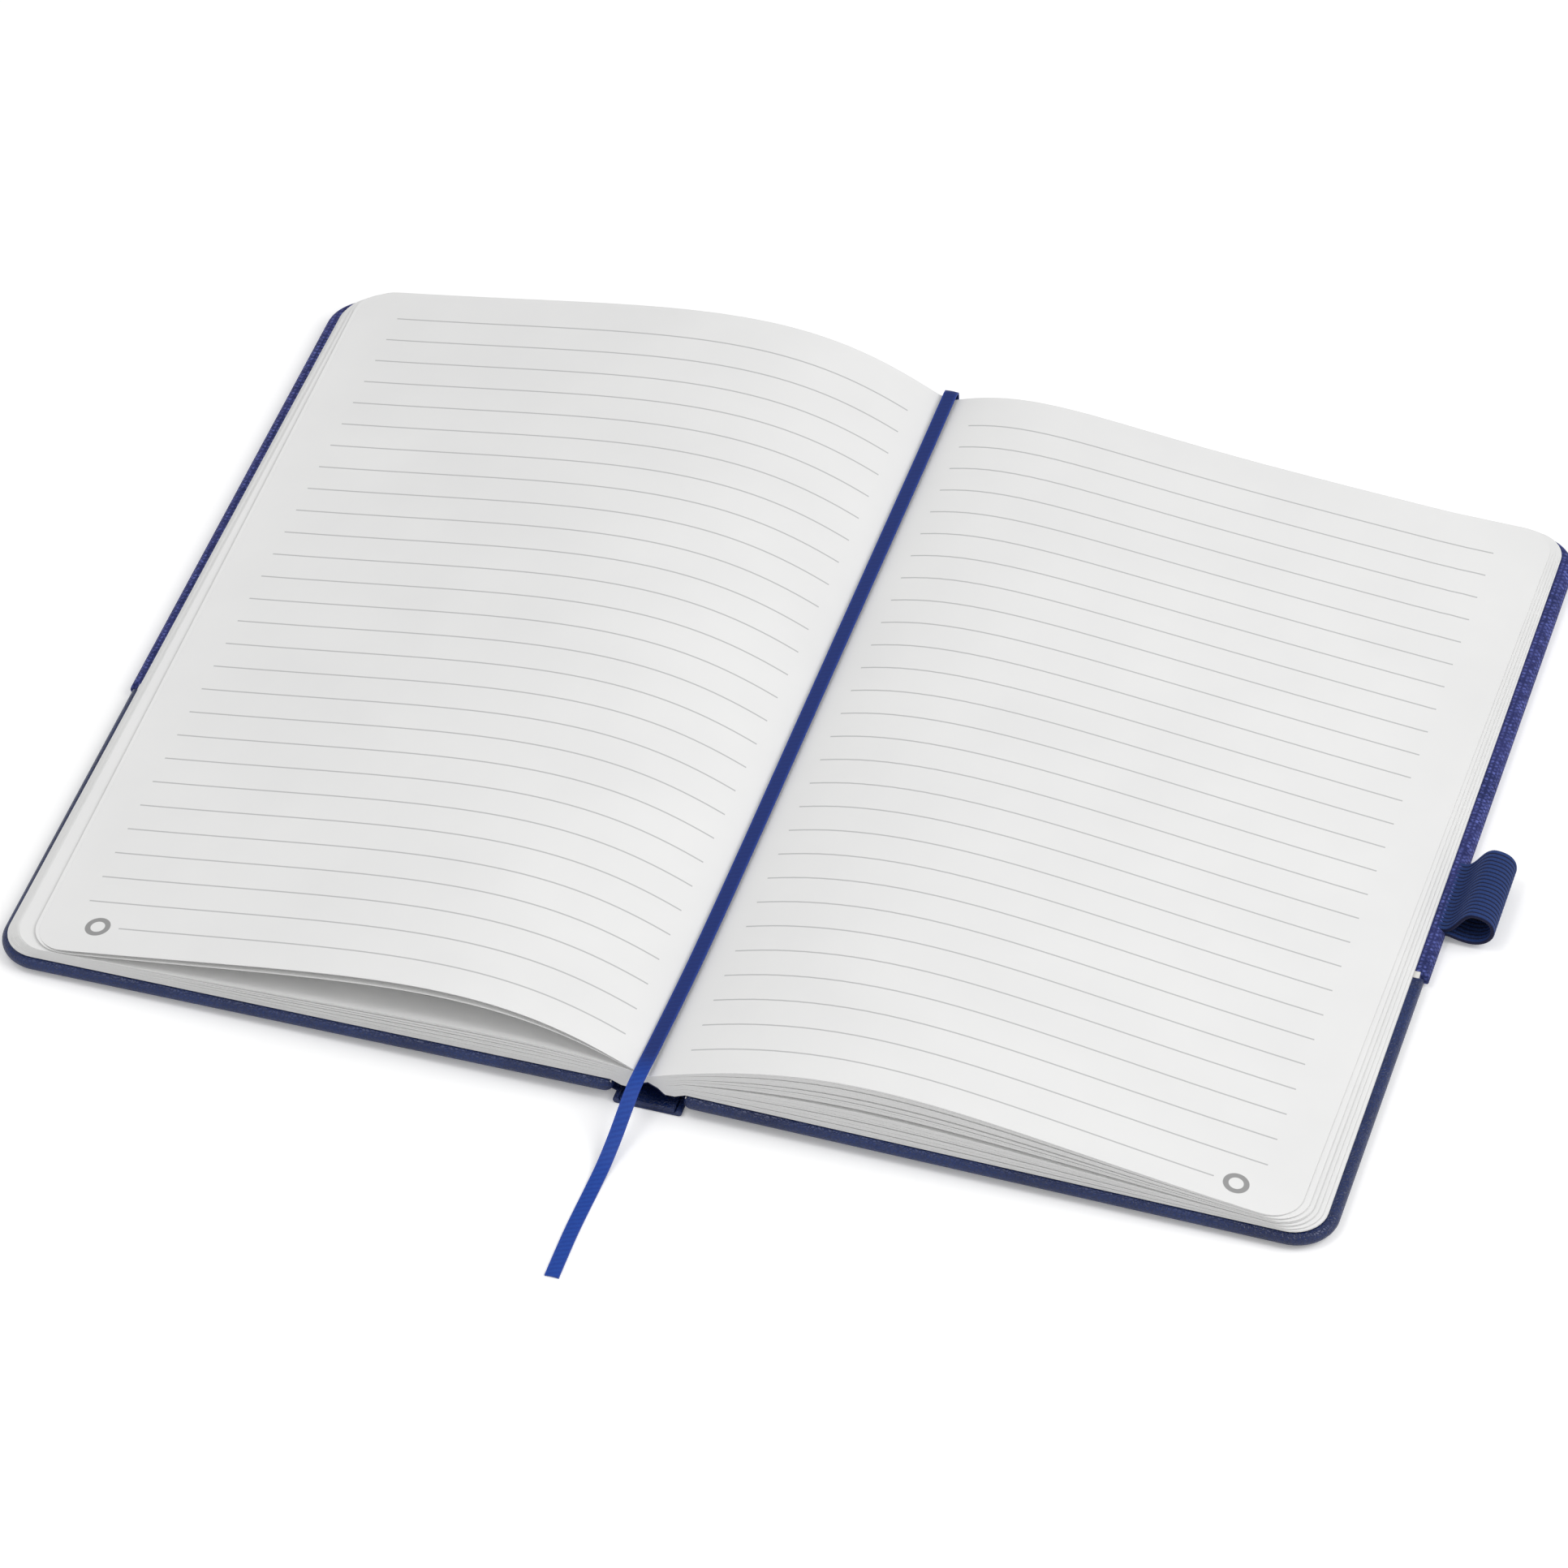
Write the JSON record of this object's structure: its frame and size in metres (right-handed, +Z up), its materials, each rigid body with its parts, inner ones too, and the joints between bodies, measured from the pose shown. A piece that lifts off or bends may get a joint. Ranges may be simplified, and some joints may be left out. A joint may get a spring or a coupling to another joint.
{
  "type": "notebook",
  "caption": "Open hardback notebook with ruled pages, leatherette and fabric covers on spine hinges, a ribbon marker and an elastic pen loop.",
  "frame": {"origin": "middle of the spine's flat underside, on the surface that the open notebook lies on", "axes": "+X across the open covers towards the back cover with the pen loop, +Y up the page to its head, +Z up from the table"},
  "size_m": [0.282, 0.258, 0.0207],
  "materials": {
    "page_paper": "matte",
    "lining_paper": "matte",
    "board_card": "matte",
    "navy_leatherette": "fine grain, satin",
    "heather_fabric": "woven heather",
    "satin_ribbon": "satin",
    "end_paper": "matte",
    "elastic": "ribbed elastic"
  },
  "bodies": {
    "book_block": {"text_block": "page_paper", "spine_lining": "lining_paper", "spine_card": "board_card", "spine_leatherette": "navy_leatherette", "spine_fabric": "heather_fabric", "ribbon_marker": "satin_ribbon"},
    "front_cover": {"front_board": "board_card", "front_leatherette": "navy_leatherette", "front_fabric": "heather_fabric", "front_pastedown": "end_paper"},
    "back_cover": {"back_board": "board_card", "back_leatherette": "navy_leatherette", "back_fabric": "heather_fabric", "back_pastedown": "end_paper", "pen_loop": "elastic"}
  },
  "joints": [
    {"name": "front_cover_hinge", "type": "hinge", "parent": "book_block", "child": "front_cover", "pos_m": [-0.007, 0, 0.0014], "axis": [0, -1, 0], "range_deg": [0, 90]},
    {"name": "back_cover_hinge", "type": "hinge", "parent": "book_block", "child": "back_cover", "pos_m": [0.007, 0, 0.0014], "axis": [0, 1, 0], "range_deg": [0, 90]}
  ]
}
